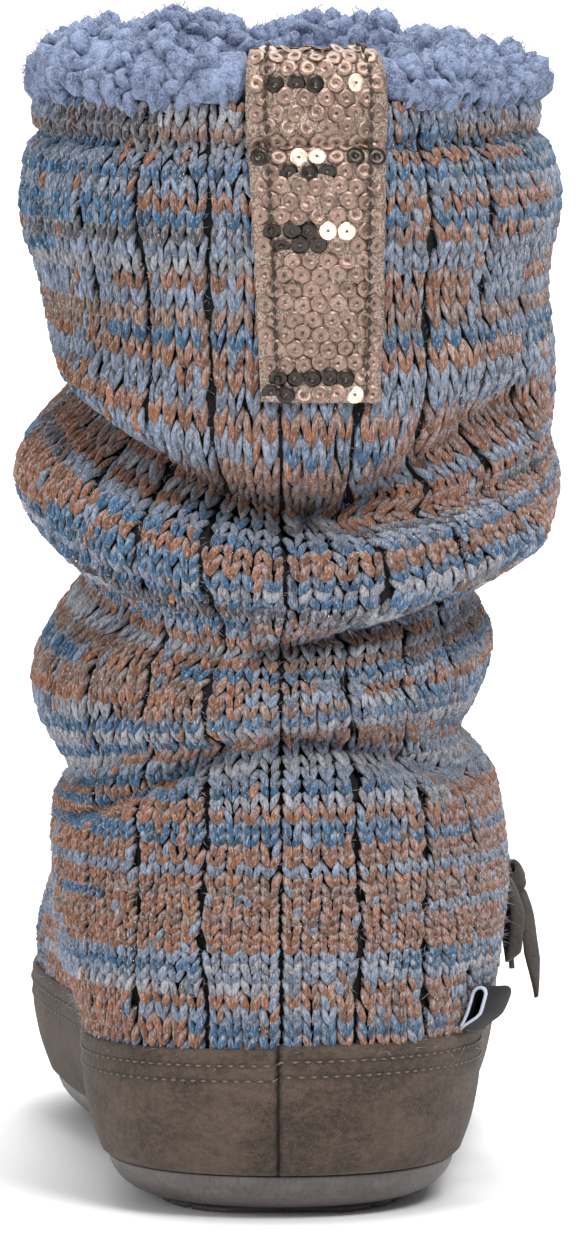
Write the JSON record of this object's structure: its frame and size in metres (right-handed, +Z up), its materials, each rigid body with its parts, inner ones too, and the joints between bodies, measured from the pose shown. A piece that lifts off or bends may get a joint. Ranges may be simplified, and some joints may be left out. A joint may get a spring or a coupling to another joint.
{
  "type": "bootie slipper",
  "caption": "Right slouch bootie slipper: knitted shaft with soft folds, curly fleece lining, suede band, low rubber sole, sequinned pull tab and a tied suede bow.",
  "frame": {"origin": "middle of the shoe's box, on the floor that its sole stands on", "axes": "+Z up, +Y from heel to toe, +X to the outer side of the right foot"},
  "size_m": [0.1226, 0.2582, 0.2628],
  "materials": {
    "rubber": "dark brown moulded rubber, satin",
    "footbed": "short pile",
    "knit": "wool-look stocking stitch in blue, grey and rust",
    "suede": "napped suede, dark brown",
    "sequin": "copper sequins on fabric",
    "fleece": "curly pile",
    "tape": "woven tape, bare",
    "brass": "polished pale brass"
  },
  "bodies": {
    "root": {"outsole": "rubber", "insole": "footbed", "upper": "knit", "foxing": "suede", "pull_tab": "sequin", "fleece_lining": "fleece", "side_label": "tape", "eyelet_rear": "brass", "eyelet_front": "brass", "lace_bar": "suede", "lace_knot": "suede", "lace_loop_rear": "suede", "lace_loop_front": "suede", "lace_end_long": "suede", "lace_end_short": "suede"}
  },
  "joints": []
}
